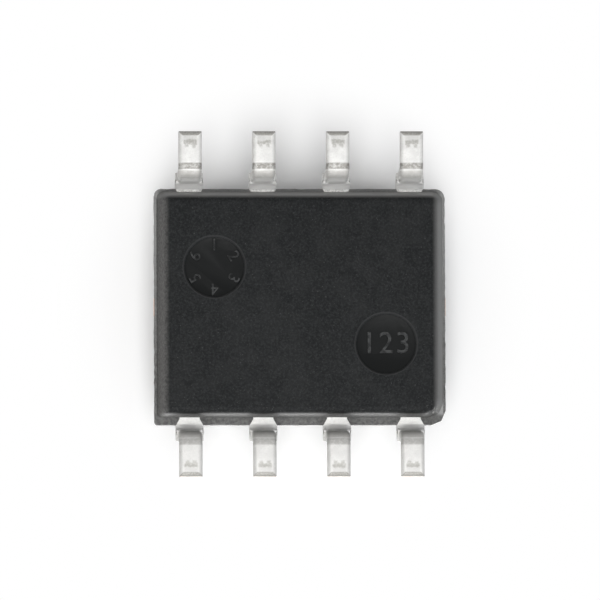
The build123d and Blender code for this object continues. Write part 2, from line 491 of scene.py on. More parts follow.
# %% [markdown]
# ## A trimmed edge is never straight
# The ledge is thinner than the metal beside it, but it buries the pad's tie bars at the short ends,
# so there its faces are moved out past the metal. Its rim was broken off by a trim die, so its
# points are then shaken by a few thousandths of a millimetre. A fixed seed gives the same edge every
# time.

# %% the trimmed ledge
TIE_BAR_COVER = 0.004
SHAKE = 0.008
SHAKE_SEED = 5


def trim_ledge(piece):
    edit(piece)
    for level, way in ((LEAD_BOTTOM + LEDGE_SHY, -1), (LEAD_TOP - LEDGE_SHY, 1)):
        pick("verts", lambda v: near(v.co.z, level) and abs(v.co.x) > 2.4 and abs(v.co.y) < 1.8)
        bpy.ops.transform.translate(value=(0, 0, way * (LEDGE_SHY + TIE_BAR_COVER)))
    pick(
        "verts",
        lambda v: abs(v.co.y) > LEDGE[1] / 2 - 0.02
        or (abs(v.co.x) > LEDGE[0] / 2 - 0.02 and abs(v.co.y) > 0.2),
    )
    bpy.ops.transform.vertex_random(offset=SHAKE, uniform=0.0, normal=0.0, seed=SHAKE_SEED)
    bpy.ops.object.mode_set(mode="OBJECT")


trim_ledge(body)
print("ledge trimmed, open edges", open_edges(body))

# %% [markdown]
# ## The bevel beside lead 1, and softened rims
# The top face has a long 45 degree bevel on the side of lead 1, which tells a person or a machine
# which way round the chip goes. One bisect that throws away the outer part and fills the cut makes
# it. The rim of the top is then rounded with a bevel, as a polished mould leaves it.

# %% index bevel and rims
INDEX_BEVEL = 0.30
RIM_ROUND = 0.045
top_edge_y = FACE[1] / 2


def rim_edge(z):
    def test(edge):
        level = all(near(v.co.z, z) for v in edge.verts)
        return level and len(edge.link_faces) == 2 and edge.calc_face_angle(0) > 0.5

    return test


def soften_rims(piece):
    edit(piece)
    bpy.ops.mesh.select_all(action="SELECT")
    bpy.ops.mesh.bisect(
        plane_co=(0, -top_edge_y + INDEX_BEVEL, TOP),
        plane_no=(0, -1, 1),
        use_fill=True,
        clear_outer=True,
    )
    pick("edges", rim_edge(TOP))
    bpy.ops.mesh.bevel(offset=RIM_ROUND, segments=4, affect="EDGES")
    bpy.ops.object.mode_set(mode="OBJECT")
    tidy_skin(piece)


soften_rims(body)
print("rims rounded, faces", len(body.data.polygons), "open edges", open_edges(body))

# %% [markdown]
# ## Marks left by the ejector pins
# Two pins push the finished chip out of the mould, and each leaves a shallow round recess with a
# polished floor. A cutter for each is a cylinder whose mouth flares a little, because the resin
# rounds over there. A boolean difference sinks it into the underside, and a smaller one makes the
# index dimple on the top.

# %% cutters
PIN_RADIUS = 0.515
PIN_DEPTH = 0.06
PIN_PLACES = ((1.49, 0.645), (-1.46, -0.68))
MOUTH = 0.024
DIMPLE = (-1.74, -1.08)
DIMPLE_RADIUS = 0.30
DIMPLE_DEPTH = 0.08


def cutter_for(centre, radius, depth, face_z, inward):
    let_go()
    length = depth - MOUTH
    z = face_z + inward * (MOUTH + length / 2)
    bpy.ops.mesh.primitive_cylinder_add(
        vertices=96, radius=radius, depth=length, location=(centre[0], centre[1], z)
    )
    cutter = bpy.context.object
    bpy.ops.object.transform_apply(location=True, rotation=True, scale=True)
    edit(cutter)
    mouth_z = face_z + inward * MOUTH
    floor_z = face_z + inward * depth
    about = (centre[0], centre[1], face_z)
    flare = (radius + MOUTH) / radius
    pick("faces", lambda f: near(f.calc_center_median().z, mouth_z) and abs(f.normal.z) > 0.9)
    pull(dz=-inward * MOUTH)
    stretch(flare, flare, about=about)
    pull(dz=-inward * MOUTH)
    stretch(1.01, 1.01, about=about)
    pick("edges", rim_edge(floor_z))
    bpy.ops.mesh.bevel(offset=0.012, segments=2, affect="EDGES")
    tidy_skin(cutter)
    return cutter


def joined(pieces):
    let_go()
    for piece in pieces:
        piece.select_set(True)
    bpy.context.view_layer.objects.active = pieces[0]
    bpy.ops.object.join()
    return bpy.context.object


def carve(piece, tool, how, crossing=False):
    let_go()
    piece.select_set(True)
    bpy.context.view_layer.objects.active = piece
    cut = piece.modifiers.new("cut", "BOOLEAN")
    cut.operation = how
    cut.solver = "EXACT"
    cut.use_self = crossing
    cut.object = tool
    bpy.ops.object.modifier_apply(modifier=cut.name)
    bpy.data.objects.remove(tool, do_unlink=True)


pins = [cutter_for(place, PIN_RADIUS, PIN_DEPTH, STANDOFF, 1) for place in PIN_PLACES]
dimple_cutter = cutter_for(DIMPLE, DIMPLE_RADIUS, DIMPLE_DEPTH, TOP, -1)
print("pins", [len(pin.data.polygons) for pin in pins], [open_edges(pin) for pin in pins])

# %% [markdown]
# ## Plain numerals in the recesses
# An ejector pin often has numbers engraved in its end, and they come out raised on the floor of the
# recess. It is made here the same way: the numerals are cut out of the pin, and the pin out of the
# body. One pin has a dial of plain numerals from 1 to 6, and the other the plain digits 1 2 3.
# Text becomes a mesh before its place is applied.

# %% raised numerals
DIGIT_RISE = 0.022
DIAL_RADIUS = 0.375
DIAL_HEIGHT = 0.20
ROW_HEIGHT = 0.37
SINK_IN = 0.012


def numeral(text, height, centre, turn):
    """A numeral on the underside, read from below, turned about its own middle."""
    let_go()
    bpy.ops.object.text_add()
    digit = bpy.context.object
    digit.data.body = text
    digit.data.size = height / 0.70
    digit.data.align_x = "CENTER"
    digit.data.align_y = "CENTER"
    digit.data.extrude = (DIGIT_RISE + SINK_IN) / 2
    digit.data.resolution_u = 3
    bpy.ops.object.convert(target="MESH")
    digit = bpy.context.object
    digit.rotation_euler = (0, math.pi, turn)
    floor_z = STANDOFF + PIN_DEPTH
    digit.location = (centre[0], centre[1], floor_z + (SINK_IN - DIGIT_RISE) / 2)
    bpy.ops.object.transform_apply(location=True, rotation=True, scale=True)
    edit(digit)
    bpy.ops.mesh.select_all(action="SELECT")
    bpy.ops.mesh.remove_doubles(threshold=1e-4)
    bpy.ops.mesh.dissolve_limited(angle_limit=0.02)
    bpy.ops.mesh.normals_make_consistent(inside=False)
    bpy.ops.object.mode_set(mode="OBJECT")
    return digit


def engrave_dial(pin, centre):
    digits = []
    for step in range(6):
        angle = math.radians(60 * step)
        spot = (
            centre[0] - DIAL_RADIUS * math.sin(angle),
            centre[1] + DIAL_RADIUS * math.cos(angle),
        )
        digits.append(numeral(str(step + 1), DIAL_HEIGHT, spot, angle))
    carve(pin, joined(digits), "DIFFERENCE", crossing=True)


def engrave_row(pin, centre, text):
    digits = []
    for step, letter in enumerate(text):
        spot = (centre[0] - (step - 1) * 0.29, centre[1])
        digits.append(numeral(letter, ROW_HEIGHT, spot, 0))
    carve(pin, joined(digits), "DIFFERENCE", crossing=True)


engrave_dial(pins[0], PIN_PLACES[0])
engrave_row(pins[1], PIN_PLACES[1], "123")
for pin in pins:
    print("engraved pin: faces", len(pin.data.polygons), "open edges", open_edges(pin))
carve(body, joined(pins + [dimple_cutter]), "DIFFERENCE")
print("body: faces", len(body.data.polygons), "open edges", open_edges(body))

# %% [markdown]
# ## Shrinking to real size
# Every piece now takes its true size, the scale is applied to its mesh, and edges flatter than 35
# degrees are shaded smooth. Each piece rides on the chip's one body and stands for the frame's own
# plainer node.

# %% ride and replace
to_real_size(body)
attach(body, "root")
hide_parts("package_body")
for number, piece in leads.items():
    to_real_size(piece)
    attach(piece, "root")
    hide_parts(f"lead_{number}")
print("pieces at real size:", [round(d / MM, 3) for d in body.dimensions])

# %% [markdown]
# ## A small kit for finishes
# A finish is a handful of nodes. Each starts from Object coordinates turned into millimetres, so a
# scale of 20 in a noise means twenty blotches to the millimetre, and a place on the chip can be
# named in the same millimetres that it was drawn in.

# %% node helpers


def new_finish(name):
    finish = bpy.data.materials.new(name)
    finish.use_nodes = True
    tree = finish.node_tree
    tree.nodes.clear()
    out = tree.nodes.new("ShaderNodeOutputMaterial")
    shader = tree.nodes.new("ShaderNodeBsdfPrincipled")
    tree.links.new(shader.outputs["BSDF"], out.inputs["Surface"])
    return finish, tree, shader


def feed(tree, socket, value):
    if isinstance(value, bpy.types.NodeSocket):
        tree.links.new(value, socket)
    elif value is not None:
        socket.default_value = value


def sums(tree, operation, a, b=None, c=None):
    node = tree.nodes.new("ShaderNodeMath")
    node.operation = operation
    for socket, value in zip(node.inputs, (a, b, c)):
        feed(tree, socket, value)
    return node.outputs[0]


def vector_sums(tree, operation, a, b=None):
    node = tree.nodes.new("ShaderNodeVectorMath")
    node.operation = operation
    feed(tree, node.inputs[0], a)
    feed(tree, node.inputs[1], b)
    return node.outputs["Value"] if operation == "LENGTH" else node.outputs["Vector"]


def in_millimetres(tree):
    place = tree.nodes.new("ShaderNodeTexCoord")
    return vector_sums(tree, "MULTIPLY", place.outputs["Object"], (1 / MM, 1 / MM, 1 / MM))


def apart_xyz(tree, vector):
    node = tree.nodes.new("ShaderNodeSeparateXYZ")
    feed(tree, node.inputs[0], vector)
    return node.outputs["X"], node.outputs["Y"], node.outputs["Z"]


def noise(tree, where, scale, detail=3.0, rough=0.55):
    node = tree.nodes.new("ShaderNodeTexNoise")
    feed(tree, node.inputs["Vector"], where)
    node.inputs["Scale"].default_value = scale
    node.inputs["Detail"].default_value = detail
    node.inputs["Roughness"].default_value = rough
    return node.outputs["Fac"]


def ramp(tree, value, low, high, to_low=0.0, to_high=1.0):
    node = tree.nodes.new("ShaderNodeMapRange")
    node.interpolation_type = "SMOOTHSTEP"
    feed(tree, node.inputs["Value"], value)
    for name, number in (("From Min", low), ("From Max", high)):
        feed(tree, node.inputs[name], number)
    for name, number in (("To Min", to_low), ("To Max", to_high)):
        feed(tree, node.inputs[name], number)
    return node.outputs["Result"]


def band(tree, value, start, end, soft):
    """1 between two values, fading to 0 over a soft edge outside them."""
    rises = ramp(tree, value, start - soft, start)
    falls = ramp(tree, value, end, end + soft, 1.0, 0.0)
    return sums(tree, "MULTIPLY", rises, falls)


def share_of(tree, mask, share):
    return sums(tree, "MULTIPLY", mask, share)


def blend(tree, share, a, b):
    node = tree.nodes.new("ShaderNodeMix")
    node.data_type = "RGBA"
    feed(tree, node.inputs["Factor"], share)
    feed(tree, node.inputs["A"], a)
    feed(tree, node.inputs["B"], b)
    return node.outputs["Result"]


def bump(tree, shader, height, distance_mm, strength=1.0, under=None):
    node = tree.nodes.new("ShaderNodeBump")
    node.inputs["Distance"].default_value = distance_mm * MM
    node.inputs["Strength"].default_value = strength
    feed(tree, node.inputs["Height"], height)
    feed(tree, node.inputs["Normal"], under)
    feed(tree, shader.inputs["Normal"], node.outputs["Normal"])
    return node.outputs["Normal"]


def dress(piece, finish):
    piece.data.materials.clear()
    piece.data.materials.append(finish)


# %% [markdown]
# ## Moulded epoxy
# The resin is black with carbon and full of fine ground silica, which shows as a dull, faintly
# speckled charcoal. The mould's face was spark-eroded, so it has a grain of a few hundredths of a
# millimetre. The pin marks were polished and are darker and smoother. The colours are kept together
# here, so that one can be changed without hunting through nodes.

# %% epoxy colours and places
EPOXY = {
    "deep": (0.0035, 0.0044, 0.0049, 1),
    "soft": (0.0118, 0.0128, 0.0133, 1),
    "grain": (0.031, 0.0325, 0.0335, 1),
    "silica": (0.11, 0.11, 0.11, 1),
    # end and wall tones: partly dust, partly painted sheen
    "end dust and sheen, thin": (0.080, 0.080, 0.079, 1),
    "end dust and sheen, thick": (0.180, 0.179, 0.175, 1),
    "painted light, minus x end": (0.42, 0.42, 0.415, 1),
    "rim, thin": (0.006, 0.006, 0.006, 1),
    "rim, thick": (0.022, 0.022, 0.021, 1),
    "wall dust and sheen, thin": (0.11, 0.11, 0.108, 1),
    "wall dust and sheen, thick": (0.19, 0.19, 0.186, 1),
    "painted light, leads 5 to 8 side": (0.42, 0.42, 0.415, 1),
    # ledge tones: partly the rough shear, partly painted light
    "ledge shear and painted light, thin": (0.10, 0.10, 0.098, 1),
    "ledge shear and painted light, thick": (0.21, 0.21, 0.206, 1),
    # painted highlight round the mouths of the pin marks
    "mouth": (0.045, 0.046, 0.047, 1),
    "polished": (0.0010, 0.0015, 0.0016, 1),
    # painted highlight on the raised numerals
    "numeral": (0.066, 0.068, 0.069, 1),
    "scratch": (0.40, 0.40, 0.385, 1),
}
EPOXY_SPECULAR = 0.14  # low, because resin packed with silica hardly shines
GATE_CORNER = (-2.52, -1.96, 0.0)  # where the resin flowed in
GATE_SCRATCHES = (0.14, 0.27)  # how far from that corner they lie
PIN_FLOOR = STANDOFF + PIN_DEPTH
RIM_TO_WALL = (0.11, 0.19)  # heights above the underside between which the rim becomes the wall
MIDDLE = 1.5  # tones that differ from side to side cross over within this far of the middle
print("pin floors", round(PIN_FLOOR, 3), "mm above the board;", len(EPOXY), "tones of epoxy")


def outside_of(tree, value, limit, soft):
    return ramp(tree, sums(tree, "ABSOLUTE", value), limit - soft, limit + soft)


def resin_grain(tree, where):
    """Colour of the spark-eroded face: charcoal, with pale specks of silica."""
    cloud = ramp(tree, noise(tree, where, 2.6, 6, 0.62), 0.38, 0.66)
    base = blend(tree, cloud, EPOXY["deep"], EPOXY["soft"])
    grain = ramp(tree, noise(tree, where, 25, 4, 0.85), 0.42, 0.66)
    base = blend(tree, share_of(tree, grain, 0.78), base, EPOXY["grain"])
    speck = ramp(tree, noise(tree, where, 34, 1, 0.5), 0.69, 0.79)
    return blend(tree, share_of(tree, speck, 0.6), base, EPOXY["silica"])


# %% [markdown]
# ## Walls and ledge: dust and painted sheen
# The drafted walls rub on the mould as the chip leaves it, so they are a dusty grey, which starts
# softly at the rim; the pale grey also stands for the walls' sheen at a glancing view, as painted
# sheen. The end at minus x and the side of leads 5 to 8 are painted paler still, as painted light.
# The ledge was broken off by the trim die and is rough and pale; part of its paleness is painted
# light. A mask for each comes from how far out a point lies, and one noise gives the dust its
# cloudiness.

# %% tones of the walls


# partly dust, partly painted sheen: the end walls are blended to a pale grey, and the minus x end paler
# still, as painted light
def ends_dust_and_sheen(tree, base, x, dust):
    face_end = FACE[0] / 2
    plus_x = ramp(tree, x, face_end - 0.085, face_end + 0.025)
    minus_x = ramp(tree, share_of(tree, x, -1.0), face_end - 0.085, face_end + 0.10)
    dust_sheen_tone = blend(tree, dust, EPOXY["end dust and sheen, thin"], EPOXY["end dust and sheen, thick"])
    painted_light_minus_x = ramp(tree, x, -MIDDLE, MIDDLE, 1.0, 0.0)
    dust_sheen_tone = blend(tree, share_of(tree, painted_light_minus_x, 0.85), dust_sheen_tone, EPOXY["painted light, minus x end"])
    return blend(tree, sums(tree, "MAXIMUM", plus_x, minus_x), base, dust_sheen_tone)


# partly dust, partly painted sheen: the side walls are blended pale above the rim, and the side of leads
# 5 to 8 paler still, as painted light
def sides_dust_and_sheen(tree, base, y, z, dust, back):
    sides = outside_of(tree, y, FACE[1] / 2, 0.045)
    dust_sheen_tone = blend(tree, dust, EPOXY["rim, thin"], EPOXY["rim, thick"])
    wall = ramp(tree, z, STANDOFF + RIM_TO_WALL[0], STANDOFF + RIM_TO_WALL[1])
    wall_dust_sheen = blend(tree, dust, EPOXY["wall dust and sheen, thin"], EPOXY["wall dust and sheen, thick"])
    dust_sheen_tone = blend(tree, wall, dust_sheen_tone, wall_dust_sheen)
    dust_sheen_tone = blend(tree, share_of(tree, back, 0.90), dust_sheen_tone, EPOXY["painted light, leads 5 to 8 side"])
    return blend(tree, sides, base, dust_sheen_tone)


# partly rough shear, partly painted light: the ledge is blended pale, and paler on the side of leads 5 to
# 8
def ledge_shear_and_light(tree, base, x, y, dust, back):
    beyond_ends = outside_of(tree, x, BODY[0] / 2 + 0.004, 0.01)
    beyond_sides = outside_of(tree, y, BODY[1] / 2 + 0.01, 0.012)
    sheared = blend(tree, dust, EPOXY["ledge shear and painted light, thin"], EPOXY["ledge shear and painted light, thick"])
    sheared = blend(tree, share_of(tree, back, 0.6), sheared, EPOXY["painted light, leads 5 to 8 side"])
    return blend(tree, sums(tree, "MAXIMUM", beyond_ends, beyond_sides), base, sheared)


# %% [markdown]
# ## Tones of the pin marks
# A polished floor, a rounded mouth painted with a pale ring of highlight, and raised numerals painted
# pale as a patchy highlight: the mask for each is made from the distance to the pin's middle, or from
# the height of a point. Near the gate corner, a stretched noise gives the pale scratches left where
# the runner broke away.

# %% masks for the pin marks and the gate


def pin_masks(tree, where, z):
    """Two masks: the polished floors of the pin marks, and the numerals raised on them."""
    inside = None
    for place in PIN_PLACES:
        away = vector_sums(tree, "SUBTRACT", where, (*place, PIN_FLOOR))
        reach = vector_sums(tree, "LENGTH", away)
        reach = ramp(tree, reach, PIN_RADIUS - 0.02, PIN_RADIUS, 1.0, 0.0)
        inside = reach if inside is None else sums(tree, "MAXIMUM", inside, reach)
    top_of_digit, foot_of_digit = PIN_FLOOR - 0.95 * DIGIT_RISE, PIN_FLOOR - 0.55 * DIGIT_RISE
    raised = ramp(tree, z, top_of_digit, foot_of_digit, 1.0, 0.0)
    return inside, sums(tree, "MULTIPLY", inside, raised)


def mouth_rings(tree, where):
    """The rounded mouths of the pin marks, painted as a pale ring of highlight."""
    rings = None
    for place in PIN_PLACES:
        away = vector_sums(tree, "SUBTRACT", where, (*place, STANDOFF))
        reach = vector_sums(tree, "LENGTH", away)
        ring = band(tree, reach, PIN_RADIUS + 0.008, PIN_RADIUS + MOUTH + 0.006, 0.008)
        rings = ring if rings is None else sums(tree, "MAXIMUM", rings, ring)
    return rings


def gate_scratches(tree, base, where, z):
    from_gate = vector_sums(tree, "SUBTRACT", where, GATE_CORNER)
    from_gate = vector_sums(tree, "MULTIPLY", from_gate, (1, 1, 0))
    near_gate = band(tree, vector_sums(tree, "LENGTH", from_gate), *GATE_SCRATCHES, 0.05)
    lower_half = ramp(tree, z, LEAD_BOTTOM - 0.3, LEAD_BOTTOM, 1.0, 0.0)
    near_gate = sums(tree, "MULTIPLY", near_gate, lower_half)
    slant = vector_sums(tree, "MULTIPLY", where, (30, 12, 9))
    scratch = ramp(tree, noise(tree, slant, 1.0, 3), 0.48, 0.60)
    return blend(tree, sums(tree, "MULTIPLY", scratch, near_gate), base, EPOXY["scratch"])


# %% [markdown]
# ## Putting the epoxy together
# The layers go on one over another: resin, walls of dust and painted sheen, a partly painted ledge,
# pin marks with painted highlights, and scratches.
# Roughness and bump share one noise, so the shine breaks up where the grain stands.

# %% epoxy finish


def epoxy_finish():
    finish, tree, shader = new_finish("moulded_epoxy_charcoal")
    where = in_millimetres(tree)
    x, y, z = apart_xyz(tree, where)
    dust = ramp(tree, noise(tree, where, 20, 3, 0.65), 0.30, 0.70)
    # the side of leads 5 to 8, where painted light is added to the walls and the ledge
    back = ramp(tree, y, -MIDDLE, MIDDLE)
    base = ends_dust_and_sheen(tree, resin_grain(tree, where), x, dust)
    base = sides_dust_and_sheen(tree, base, y, z, dust, back)
    base = ledge_shear_and_light(tree, base, x, y, dust, back)
    polished, raised = pin_masks(tree, where, z)
    # painted highlight: a pale ring round the mouth of each pin mark
    base = blend(tree, share_of(tree, mouth_rings(tree, where), 0.7), base, EPOXY["mouth"])
    base = blend(tree, polished, base, EPOXY["polished"])
    # painted highlight: the raised numerals are painted pale, in patches
    patchy_highlight = ramp(tree, noise(tree, where, 11, 3), 0.38, 0.62, 0.25, 1.0)
    base = blend(tree, sums(tree, "MULTIPLY", raised, patchy_highlight), base, EPOXY["numeral"])
    feed(tree, shader.inputs["Base Color"], gate_scratches(tree, base, where, z))
    grain = noise(tree, where, 28, 3, 0.6)
    rough = ramp(tree, grain, 0.3, 0.7, 0.52, 0.68)
    rough = sums(tree, "ADD", rough, sums(tree, "MULTIPLY", polished, -0.14))
    feed(tree, shader.inputs["Roughness"], rough)
    shader.inputs["Specular IOR Level"].default_value = EPOXY_SPECULAR
    height = sums(tree, "MULTIPLY", grain, sums(tree, "SUBTRACT", 1.0, polished))
    bump(tree, shader, height, 0.010, 0.6)
    return finish


dress(body, epoxy_finish())
print("epoxy finish:", body.data.materials[0].name)

# %% [markdown]
# ## Matte tin
# The leads are plated with matte tin, a warm silver grey that scatters light almost like paper, so
# it is mixed from metal and a dull white. Every mark on a lead is placed by three measures: how far
# a point lies from the toe, how far across from that lead's own middle, and how high. So one finish
# does for all eight.

# %% tin colours and places
TIN = {
    "dull": (0.74, 0.735, 0.72, 1),
    "bright": (0.83, 0.827, 0.81, 1),
    "speckle": (0.58, 0.57, 0.545, 1),
    # painted shade on the row of leads 1 to 4
    "painted shade, leads 1 to 4": (0.50, 0.495, 0.48, 1),
    "pressed": (0.45, 0.445, 0.43, 1),
    "scuff": (0.34, 0.33, 0.30, 1),
    "darker toe edge": (0.27, 0.26, 0.235, 1),
    # painted shade where the heel starts
    "heel": (0.22, 0.21, 0.19, 1),
    # painted shade on the stretch above the heel
    "bent": (0.56, 0.55, 0.525, 1),
    "crease": (0.42, 0.41, 0.39, 1),
    "copper": (0.55, 0.33, 0.23, 1),
    # painted light on the inner side of the shoulder
    "painted light, inner side": (0.97, 0.965, 0.95, 1),
    "neck, pale": (0.76, 0.755, 0.735, 1),
    "neck, dark": (0.54, 0.535, 0.52, 1),
    # painted highlight on the necks of leads 1 to 4
    "painted highlight, necks of leads 1 to 4": (0.93, 0.925, 0.905, 1),
}
# level distances, from the toe towards the body
HEEL_AT = FOOT_FLAT
LEG_AT = toe_y - shoulder_y - BEND_INSIDE
PRESSED_PATCH = (0.07, 0.19)
SCUFF_BAR = (0.18, 0.215)
SCUFF_TONGUES = (0.19, 0.25)
HEEL_SHADE_BAND = (HEEL_AT + 0.045, HEEL_AT + 0.12)
BEND_SHADE_BAND = (HEEL_AT + 0.165, LEG_AT - 0.055)
CREASE_BAND = (HEEL_AT + 0.12, LEG_AT + 0.06)
TIN_METALLIC = 0.35
print("heel at", round(HEEL_AT, 3), "and leg at", round(LEG_AT, 3), "mm from the toe")


def lead_measures(tree, x, y, z):
    """Distance from the toe, distance across from the lead's middle, and a mask of the sole."""
    from_toe = sums(tree, "SUBTRACT", toe_y, sums(tree, "ABSOLUTE", y))
    across = sums(tree, "WRAP", x, PITCH, 0.0)
    across = sums(tree, "ABSOLUTE", sums(tree, "SUBTRACT", across, PITCH / 2))
    under = ramp(tree, z, METAL * 0.4, METAL * 0.6, 1.0, 0.0)
    return from_toe, across, under


def plain_tin(tree, where, y, speckle):
    """Blotched and speckled plating; the row of leads 1 to 4 is painted darker, as painted shade."""
    blotch = ramp(tree, noise(tree, where, 6, 3), 0.35, 0.65)
    base = blend(tree, blotch, TIN["dull"], TIN["bright"])
    base = blend(tree, ramp(tree, speckle, 0.50, 0.72, 0.0, 0.45), base, TIN["speckle"])
    # painted shade: the outer parts of leads 1 to 4 are blended towards a darker grey
    return blend(tree, ramp(tree, y, -2.2, -1.8, 0.36, 0.0), base, TIN["painted shade, leads 1 to 4"])


# %% [markdown]
# ## Marks on the sole
# A test socket pressed a faint patch into each sole and scuffed a short bar with two tongues behind
# it. The toe's rounded edge is coloured a darker grey, and mitred where it meets the side edges, as
# the bevel itself is.

# %% scuffs and the darker toe edge


def socket_scuff(tree, where, from_toe, across):
    ragged = share_of(tree, sums(tree, "SUBTRACT", noise(tree, where, 8, 3, 0.6), 0.5), 0.14)
    shaken = sums(tree, "ADD", from_toe, ragged)
    bar = band(tree, shaken, *SCUFF_BAR, 0.03)
    behind = band(tree, shaken, *SCUFF_TONGUES, 0.05)
    tongues = sums(tree, "MULTIPLY", band(tree, across, 0.045, 0.08, 0.03), behind)
    mark = sums(tree, "MAXIMUM", bar, share_of(tree, tongues, 0.8))
    mark = sums(tree, "MULTIPLY", mark, ramp(tree, across, 0.095, 0.13, 1.0, 0.0))
    broken = ramp(tree, noise(tree, where, 26, 3, 0.7), 0.30, 0.60, 0.45, 1.0)
    return sums(tree, "MULTIPLY", mark, broken)


def marked_sole(tree, base, where, from_toe, across, under, speckle):
    patch = band(tree, from_toe, *PRESSED_PATCH, 0.015)
    patch = sums(tree, "MULTIPLY", patch, ramp(tree, across, 0.10, 0.13, 1.0, 0.0))
    patch = sums(tree, "MULTIPLY", patch, under)
    base = blend(tree, share_of(tree, patch, 0.30), base, TIN["pressed"])
    scuff = sums(tree, "MULTIPLY", socket_scuff(tree, where, from_toe, across), under)
    base = blend(tree, share_of(tree, scuff, 0.75), base, TIN["scuff"])
    mitre = ramp(tree, sums(tree, "ADD", across, from_toe), 0.20, 0.225, 1.0, 0.0)
    toe = sums(tree, "MULTIPLY", ramp(tree, from_toe, 0.068, 0.088, 1.0, 0.0), mitre)
    toe = sums(tree, "MULTIPLY", toe, under)
    toe = sums(tree, "MULTIPLY", toe, ramp(tree, speckle, 0.25, 0.6, 0.6, 1.0))
    return blend(tree, share_of(tree, toe, 0.85), base, TIN["darker toe edge"])


# %% [markdown]
# ## Painted shade at the bends, and creases
# Where the heel starts, a dark patchy band is painted shade, and a grey stretch above it is painted
# shade too; the heel's band is darker on the side of leads 5 to 8. Bending crazes the plating into
# thin creases across the strip, made by a noise that is squeezed along the lead. The toe's end face
# was sheared last of all, after plating, so copper shows through the smeared tin.

# %% bends and the sheared toe


def bent_tin(tree, base, where, from_toe, y, z):
    # painted shade: a dark patchy band where the heel starts, darker on the side of leads 5 to 8
    heel = band(tree, from_toe, *HEEL_SHADE_BAND, 0.03)
    patchy = ramp(tree, noise(tree, where, 20, 3, 0.7), 0.3, 0.6, 0.45, 1.0)
    heel = sums(tree, "MULTIPLY", heel, patchy)
    heel = sums(tree, "MULTIPLY", heel, ramp(tree, y, -1.0, 1.0, 0.45, 0.90))
    heel = sums(tree, "MULTIPLY", heel, ramp(tree, z, 0.12, 0.24, 1.0, 0.0))
    base = blend(tree, heel, base, TIN["heel"])
    # painted shade: a grey stretch above the heel
    bent = band(tree, from_toe, *BEND_SHADE_BAND, 0.012)
    clouded = ramp(tree, noise(tree, where, 14, 3, 0.7), 0.3, 0.6, 0.6, 1.0)
    bent = sums(tree, "MULTIPLY", bent, clouded)
    bent = sums(tree, "MULTIPLY", bent, ramp(tree, z, 0.30, 0.50, 1.0, 0.0))
    return blend(tree, share_of(tree, bent, 0.85), base, TIN["bent"])


def crease_lines(tree, where, from_toe):
    """The creases' noise, and where on the lead it shows."""
    lines = noise(tree, vector_sums(tree, "MULTIPLY", where, (5, 48, 48)), 1.0, 3)
    return lines, band(tree, from_toe, *CREASE_BAND, 0.04)


def sheared_toe(tree, base, where, from_toe, z):
    end_face = ramp(tree, from_toe, 0.001, 0.004, 1.0, 0.0)
    sheared = sums(tree, "MULTIPLY", end_face, ramp(tree, z, 0.05, 0.09))
    smear = ramp(tree, noise(tree, where, 16, 3), 0.42, 0.62)
    return blend(tree, sums(tree, "MULTIPLY", sheared, smear), base, TIN["copper"])


# %% [markdown]
# ## The finish of the leads
# The inner side of the shoulder is painted whitest, as painted light, and the neck behind it is
# speckled and more metallic, with a painted highlight on the necks of leads 1 to 4. Metallic is a
# value that may be driven by a mask, so one finish can be almost paper inside the shoulder and all
# metal at the neck.

# %% tin finish


def tin_finish():
    finish, tree, shader = new_finish("matte_tin_on_copper")
    where = in_millimetres(tree)
    x, y, z = apart_xyz(tree, where)
    from_toe, across, under = lead_measures(tree, x, y, z)
    speckle = noise(tree, where, 42, 3, 0.7)
    base = plain_tin(tree, where, y, speckle)
    base = marked_sole(tree, base, where, from_toe, across, under, speckle)
    base = bent_tin(tree, base, where, from_toe, y, z)
    lines, creased = crease_lines(tree, where, from_toe)
    creases = sums(tree, "MULTIPLY", creased, ramp(tree, lines, 0.52, 0.64))
    base = blend(tree, share_of(tree, creases, 0.35), base, TIN["crease"])
    base = sheared_toe(tree, base, where, from_toe, z)
    # painted light: the inner side of the shoulder is blended to near white
    inner_side = ramp(tree, from_toe, LEG_AT - 0.04, LEG_AT - 0.02)
    base = blend(tree, inner_side, base, TIN["painted light, inner side"])
    neck = ramp(tree, from_toe, LEG_AT + 0.09, LEG_AT + 0.11)
    mottled = ramp(tree, speckle, 0.35, 0.65)
    mottled = blend(tree, mottled, TIN["neck, pale"], TIN["neck, dark"])
    # painted highlight: the necks of leads 1 to 4 are blended paler
    mottled = blend(tree, ramp(tree, y, -1.0, 1.0, 0.75, 0.0), mottled, TIN["painted highlight, necks of leads 1 to 4"])
    feed(tree, shader.inputs["Base Color"], blend(tree, neck, base, mottled))
    metallic = sums(tree, "SUBTRACT", TIN_METALLIC, share_of(tree, inner_side, 0.30))
    metallic = sums(tree, "ADD", metallic, share_of(tree, neck, 0.95))
    feed(tree, shader.inputs["Metallic"], metallic)
    feed(tree, shader.inputs["Roughness"], ramp(tree, speckle, 0.3, 0.7, 0.50, 0.64))
    creased_height = sums(tree, "MULTIPLY", lines, creased)
    height = sums(tree, "ADD", sums(tree, "MULTIPLY", speckle, 0.5), creased_height)
    bump(tree, shader, height, 0.006, 0.7)
    return finish


tin = tin_finish()
for piece in leads.values():
    dress(piece, tin)
print("tin on", len(leads), "leads")

# %% [markdown]
# ## What is sealed inside
# Copper pad, silver-filled glue, silicon die and gold wires keep the frame's own shapes, since only
# the cut ends of the pad's tie bars can be seen. They still get their true finishes, so the parts
# look right when the moulding is hidden.

